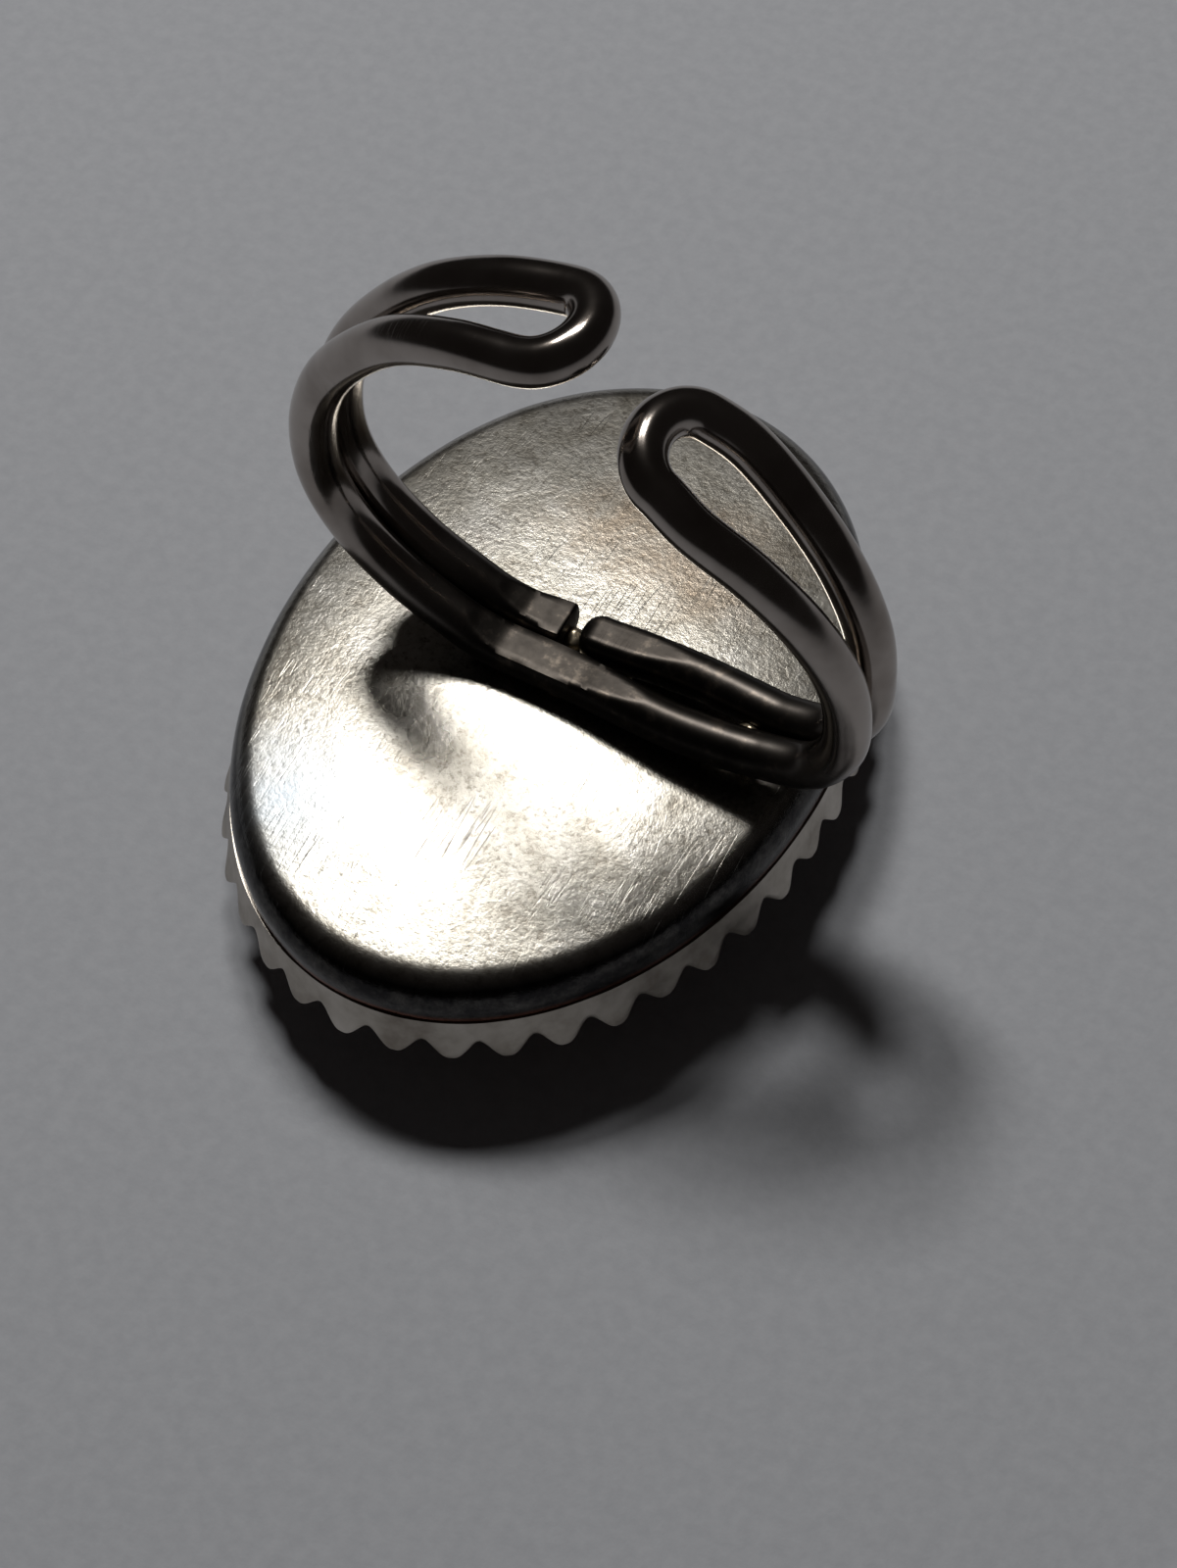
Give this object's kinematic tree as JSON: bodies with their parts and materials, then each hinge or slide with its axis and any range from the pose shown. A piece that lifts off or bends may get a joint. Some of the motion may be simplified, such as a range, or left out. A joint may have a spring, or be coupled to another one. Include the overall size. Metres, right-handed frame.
{
  "type": "adjustable finger ring",
  "caption": "Adjustable finger ring: oval cabochon in a scalloped setting on a domed back plate, with an open shank of round wire whose hairpin arms bend to fit the finger.",
  "frame": {"origin": "crown of the stone, the lowest point of the ring as it lies face down", "axes": "+Z from the stone's crown up through the back plate to the shank, Y along the oval's long axis and the finger hole, X across the shank"},
  "size_m": [0.0216, 0.0266, 0.0244],
  "materials": {
    "plate_metal": "worn polish, fine scratches",
    "band_metal": "matt silver",
    "wire_metal": "polished",
    "solder": "dull, slightly yellow",
    "stone": "gloss polish",
    "bed": "matt cement"
  },
  "bodies": {
    "root": {"back_plate": "plate_metal", "bezel_band": "band_metal", "cabochon": "stone", "stone_bed": "bed", "shank_front_base": "wire_metal", "shank_rear_left_end": "wire_metal", "shank_rear_right_end": "wire_metal", "solder_joint": "solder"},
    "left_arm": {"left_hairpin": "wire_metal"},
    "right_arm": {"right_hairpin": "wire_metal"}
  },
  "joints": [
    {"name": "left_arm_bend", "type": "hinge", "parent": "root", "child": "left_arm", "pos_m": [-0.0029, -0.0002, 0.0081], "axis": [0, 1, 0], "range_deg": [-10, 8]},
    {"name": "right_arm_bend", "type": "hinge", "parent": "root", "child": "right_arm", "pos_m": [0.0082, -0.0002, 0.00768], "axis": [0, -1, 0], "range_deg": [-10, 8]}
  ]
}
